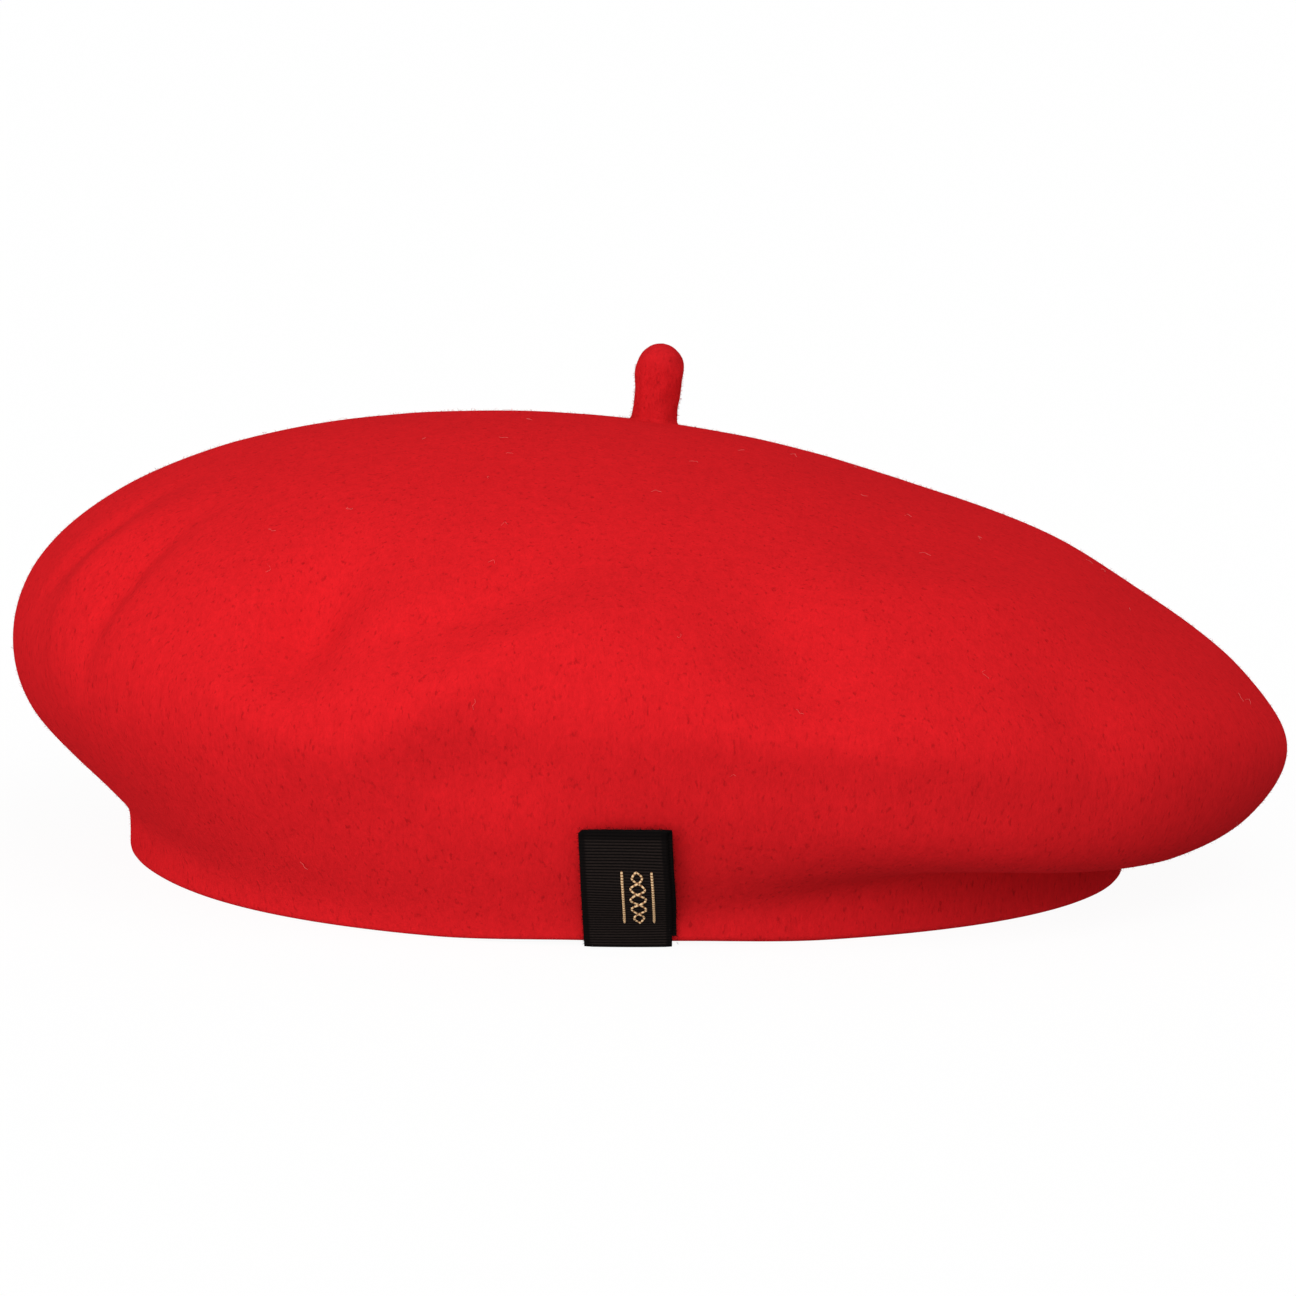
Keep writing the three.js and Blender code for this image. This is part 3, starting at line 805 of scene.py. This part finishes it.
def blended(tree, kind, share, first, second):
    """Two colours mixed in one way; each is a colour or a socket."""
    mix = tree.nodes.new("ShaderNodeMix")
    mix.data_type = "RGBA"
    mix.blend_type = kind
    for index, value in ((0, share), (6, first), (7, second)):
        if isinstance(value, bpy.types.NodeSocket):
            tree.links.new(value, mix.inputs[index])
        else:
            mix.inputs[index].default_value = value
    return mix.outputs[2]


def felt_material(name, colour, sheen):
    """Brushed wool felt: the red varies by a few per cent with soft patches, clumps a millimetre
    wide and fine brushed fibres, is darkened by painted shade in small pits between clumps, and
    has a bump to match."""
    material, tree, shader, add = new_material(name)
    place = add("ShaderNodeTexCoord").outputs["Object"]
    brushed = add("ShaderNodeMapping", {"Vector": place, "Scale": (1.0, 1.0, 0.45)}).outputs["Vector"]
    patches = noise(add, place, 45, 2)
    clumps = noise(add, brushed, 520, 3, 0.6)
    fibres = noise(add, brushed, 1900, 3, 0.65)
    grain = noise(add, place, 6000, 2, 0.6)
    pits = noise(add, brushed, 1300, 2, 0.5)
    tone = scaled_sum(add, ((patches, 0.12), (clumps, 0.42), (fibres, 0.55), (grain, 0.25)), 0.5)
    ramp = add("ShaderNodeValToRGB", {"Fac": tone})
    ramp.color_ramp.elements[0].position = 0.25
    ramp.color_ramp.elements[0].color = tuple(0.84 * c for c in colour) + (1,)
    ramp.color_ramp.elements[1].position = 0.75
    ramp.color_ramp.elements[1].color = tuple(1.14 * c for c in colour) + (1,)
    # Painted shade: small random spots darkened to 70 per cent stand for the shade in pits between
    # clumps.
    painted_pit_shade = add("ShaderNodeValToRGB", {"Fac": pits})
    painted_pit_shade.color_ramp.elements[0].position = 0.25
    painted_pit_shade.color_ramp.elements[0].color = (0.70, 0.70, 0.70, 1)
    painted_pit_shade.color_ramp.elements[1].position = 0.40
    painted_pit_shade.color_ramp.elements[1].color = (1, 1, 1, 1)
    cloth = blended(tree, "MULTIPLY", 1.0, ramp.outputs["Color"], painted_pit_shade.outputs["Color"])
    tree.links.new(cloth, shader.inputs["Base Color"])
    shader.inputs["Roughness"].default_value = 1.0
    shader.inputs["Specular IOR Level"].default_value = 0.0
    shader.inputs["Sheen Weight"].default_value = sheen
    shader.inputs["Sheen Roughness"].default_value = 0.45
    shader.inputs["Sheen Tint"].default_value = (0.9, 0.05, 0.06, 1)
    relief = scaled_sum(add, ((clumps, 0.5), (fibres, 0.5), (grain, 0.25)), 0.5)
    bump = add("ShaderNodeBump", {"Height": relief, "Strength": 0.35, "Distance": 0.0005})
    tree.links.new(bump.outputs["Normal"], shader.inputs["Normal"])
    return material


def fibre_material(name, colour):
    """Single wool fibres, a little uneven in colour along the felt."""
    material, tree, shader, add = new_material(name)
    place = add("ShaderNodeTexCoord").outputs["Object"]
    tone = noise(add, place, 900, 2)
    ramp = add("ShaderNodeValToRGB", {"Fac": tone})
    ramp.color_ramp.elements[0].position = 0.3
    ramp.color_ramp.elements[0].color = tuple(0.75 * c for c in colour) + (1,)
    ramp.color_ramp.elements[1].position = 0.7
    ramp.color_ramp.elements[1].color = colour + (1,)
    tree.links.new(ramp.outputs["Color"], shader.inputs["Base Color"])
    shader.inputs["Roughness"].default_value = 1.0
    shader.inputs["Specular IOR Level"].default_value = 0.0
    return material


def ribbon_material():
    """Black grosgrain: rib crests lighter by a painted brownish highlight between black furrows,
    fine warp threads across them, selvedges and a fold along the top darkened by painted shade,
    and a few specks of grey lint."""
    material, tree, shader, add = new_material("black_grosgrain")
    place = add("ShaderNodeTexCoord").outputs["UV"]
    split = add("ShaderNodeSeparateXYZ", {"Vector": place})
    side = add("ShaderNodeMath", {0: split.outputs["X"]}, operation="ABSOLUTE").outputs[0]
    # Painted shade on the selvedges: near both edges the colour darkens, standing for shade on their
    # rounded edges.
    edge = LAYER_WIDTH / 2 - SELVEDGE
    ribbed = stepped(add, side, edge - 0.2, edge + 0.2, 1.0, 0.25)
    # Painted shade along the fold at the top of the tab: within about 2 mm of it the colour darkens
    # towards black.
    fold = add("ShaderNodeMath", {0: split.outputs["Y"], 1: TAB_HEIGHT - BACK_FOOT}, operation="SUBTRACT")
    fold = add("ShaderNodeMath", {0: fold.outputs[0]}, operation="ABSOLUTE").outputs[0]
    clear_of_fold_shade = stepped(add, fold, 0.9, 2.0, 0.2, 1.0)
    unshaded_share = add("ShaderNodeMath", {0: ribbed, 1: clear_of_fold_shade}, operation="MULTIPLY").outputs[0]
    # Painted highlight: the colour is lighter on the rib crests, standing for light on the ribs, and
    # black in the furrows between them.
    rib = add("ShaderNodeMath", {0: split.outputs["Y"], 1: math.pi / RIB_PITCH}, operation="MULTIPLY")
    ridge = add("ShaderNodeMath", {0: rib.outputs[0]}, operation="SINE").outputs[0]
    crest_highlight = add("ShaderNodeMath", {0: ridge}, operation="ABSOLUTE").outputs[0]
    warp = add("ShaderNodeMath", {0: split.outputs["X"], 1: TURN / 0.16}, operation="MULTIPLY")
    threads = add("ShaderNodeMath", {0: warp.outputs[0]}, operation="SINE").outputs[0]
    cloud = noise(add, place, 3.0, 3)
    tone = scaled_sum(add, ((crest_highlight, 0.8), (threads, 0.12), (cloud, 0.6)), 0.35)
    ramp = add("ShaderNodeValToRGB", {"Fac": tone})
    ramp.color_ramp.elements[0].position = 0.1
    ramp.color_ramp.elements[0].color = (0.0012, 0.0009, 0.001, 1)
    ramp.color_ramp.elements[1].position = 0.85
    ramp.color_ramp.elements[1].color = (0.027, 0.0185, 0.0165, 1)
    # Painted shade colour, near black, for the selvedges and the fold.
    painted_shade_colour = (0.0022, 0.0016, 0.0017, 1)
    cloth = blended(tree, "MIX", unshaded_share, painted_shade_colour, ramp.outputs["Color"])
    specks = stepped(add, noise(add, place, 2.4, 1), 0.80, 0.83, 0.0, 0.5)
    cloth = blended(tree, "MIX", specks, cloth, (0.12, 0.11, 0.11, 1))
    tree.links.new(cloth, shader.inputs["Base Color"])
    shader.inputs["Roughness"].default_value = 0.75
    shader.inputs["Specular IOR Level"].default_value = 0.05
    relief = scaled_sum(add, ((threads, 0.3), (cloud, 0.3)), 0.5)
    bump = add("ShaderNodeBump", {"Height": relief, "Strength": 0.4, "Distance": 0.0001})
    tree.links.new(bump.outputs["Normal"], shader.inputs["Normal"])
    return material


def gold_material():
    """Pale gold embroidery thread: short stitches along it, with painted shade between them."""
    material, tree, shader, add = new_material("gold_thread")
    place = add("ShaderNodeTexCoord").outputs["UV"]
    split = add("ShaderNodeSeparateXYZ", {"Vector": place})
    run = add("ShaderNodeMath", {0: split.outputs["Y"], 1: TURN / STITCH}, operation="MULTIPLY")
    wave = add("ShaderNodeMath", {0: run.outputs[0]}, operation="SINE").outputs[0]
    stitch = stepped(add, wave, -0.9, 0.3, 0.0, 1.0)
    # Painted shade: the colour darkens to brown between the stitches, where the thread dips.
    gold_with_gap_shade = blended(tree, "MIX", stitch, (0.30, 0.13, 0.05, 1), (0.98, 0.66, 0.36, 1))
    tree.links.new(gold_with_gap_shade, shader.inputs["Base Color"])
    shader.inputs["Roughness"].default_value = 0.5
    shader.inputs["Specular IOR Level"].default_value = 0.3
    bump = add("ShaderNodeBump", {"Height": stitch, "Strength": 0.5, "Distance": 0.0001})
    tree.links.new(bump.outputs["Normal"], shader.inputs["Normal"])
    return material


RED = (0.70, 0.0130, 0.0175)
STALK_RED = (0.60, 0.0131, 0.0174)
STALK_FIBRE = (0.68, 0.0125, 0.0167)
FIBRE_RED = (0.74, 0.0140, 0.0190)
FIBRE_PALE = (0.85, 0.26, 0.24)
LINT_BLACK = (0.006, 0.005, 0.005)


def dress(piece, material):
    """One material on a whole piece."""
    piece.data.materials.append(material)


red_felt = felt_material("red_felt", RED, 0.10)
stalk_felt = felt_material("stalk_felt", STALK_RED, 0.08)
red_fibre = fibre_material("red_fibre", FIBRE_RED)
pale_fibre = fibre_material("pale_fibre", FIBRE_PALE)

dress(crown_piece(), red_felt)
dress(stalk_piece(), stalk_felt)
dress(ribbon_piece(), ribbon_material())
dress(embroidery_piece(), gold_material())
dress(ribbon_fuzz(), fibre_material("black_lint", LINT_BLACK))
dress(crown_nap(), red_fibre)
dress(stalk_nap(), fibre_material("stalk_fibre", STALK_FIBRE))
dress(stray_fibres(), pale_fibre)

# The studio: a floor and a backdrop, in metres
FLOOR_SIZE = 40.0
BACKDROP_RADIUS = 30.0


def stage_piece(name, mesh, base, glow):
    """A plain matt surface round the object. Only the camera sees it, so that it neither lights
    the beret nor takes its colour."""
    piece = bpy.data.objects.new(name, mesh)
    bpy.context.scene.collection.objects.link(piece)
    material, tree, shader, add = new_material(name)
    shader.inputs["Base Color"].default_value = (base, base, base, 1)
    shader.inputs["Roughness"].default_value = 1.0
    shader.inputs["Specular IOR Level"].default_value = 0.0
    shader.inputs["Emission Color"].default_value = (1, 1, 1, 1)
    shader.inputs["Emission Strength"].default_value = glow
    piece.data.materials.append(material)
    piece.visible_diffuse = False
    piece.visible_glossy = False
    piece.visible_shadow = False


def floor():
    """A plain pale floor, square and flat, level with the rim."""
    half = FLOOR_SIZE / 2
    mesh = bpy.data.meshes.new("floor")
    corners = [(-half, -half, 0), (half, -half, 0), (half, half, 0), (-half, half, 0)]
    mesh.from_pydata(corners, [], [(0, 1, 2, 3)])
    stage_piece("pale_floor", mesh, 0.06, 0.95)


def backdrop():
    """A pale sphere far round everything: radius times (cos lat cos lon, cos lat sin lon,
    sin lat)."""
    columns = 48
    rows = 25
    lon = np.linspace(0, TURN, columns, endpoint=False)[:, None]
    lat = np.linspace(-math.pi / 2, math.pi / 2, rows)[None]
    grid = np.stack([np.cos(lat) * np.cos(lon), np.cos(lat) * np.sin(lon), np.sin(lat) + 0 * lon], -1)
    mesh = bpy.data.meshes.new("backdrop")
    quads = round_quads(columns, rows)
    mesh.from_pydata((grid * BACKDROP_RADIUS).reshape(-1, 3).tolist(), [], quads.tolist())
    stage_piece("pale_backdrop", mesh, 0.0, 0.98)


def sun(name, strength, azimuth, elevation, softness):
    """A soft light from far away. Azimuth 0 comes from the camera's side, plus from the right."""
    data = bpy.data.lights.new(name, "SUN")
    data.energy = strength
    data.angle = math.radians(softness)
    lamp = bpy.data.objects.new(name, data)
    a = math.radians(azimuth)
    e = math.radians(elevation)
    source = Vector((math.sin(a) * math.cos(e), -math.cos(a) * math.cos(e), math.sin(e)))
    lamp.rotation_euler = source.to_track_quat("Z", "Y").to_euler()
    bpy.context.scene.collection.objects.link(lamp)


floor()
backdrop()
sun("front_light", 1.15, -10, 17, 60)
sun("left_light", 1.05, -55, 15, 60)
sun("right_light", 1.05, 42, 50, 60)
sun("right_side_light", 0.1, 110, 15, 60)
sun("back_light", 0.4, 180, 30, 60)
sun("table_light", 0.32, -55, -20, 60)
world = bpy.data.worlds.new("studio")
world.use_nodes = True
world.node_tree.nodes["Background"].inputs["Color"].default_value = (1, 1, 1, 1)
world.node_tree.nodes["Background"].inputs["Strength"].default_value = 0.26
bpy.context.scene.world = world

# The camera, in the beret's own frame
CAMERA_ELEVATION = math.radians(8.5)
CAMERA_DISTANCE = 1200.0
CAMERA_ROLL = math.radians(1.2)
CAMERA_TARGET = np.array([3.6, 0.0, 41.6])
FRAME_HEIGHT = 259.2  # millimetres seen across the frame at the target


def camera():
    """The photograph's view: level with the beret, a little above it, with a slight roll."""
    data = bpy.data.cameras.new("camera")
    data.sensor_width = 36
    data.lens = data.sensor_width * CAMERA_DISTANCE / FRAME_HEIGHT
    data.clip_start = 0.05
    data.clip_end = 100
    holder = bpy.data.objects.new("camera", data)
    bpy.context.scene.collection.objects.link(holder)
    back = Vector((0, -math.cos(CAMERA_ELEVATION), math.sin(CAMERA_ELEVATION)))
    target = Vector(to_row(CAMERA_TARGET))
    turn = back.to_track_quat("Z", "Y").to_matrix() @ Matrix.Rotation(CAMERA_ROLL, 3, "Z")
    holder.matrix_world = Matrix.Translation(target + back * CAMERA_DISTANCE * MM) @ turn.to_4x4()
    bpy.context.scene.camera = holder


camera()
bpy.context.scene.view_settings.view_transform = "Standard"
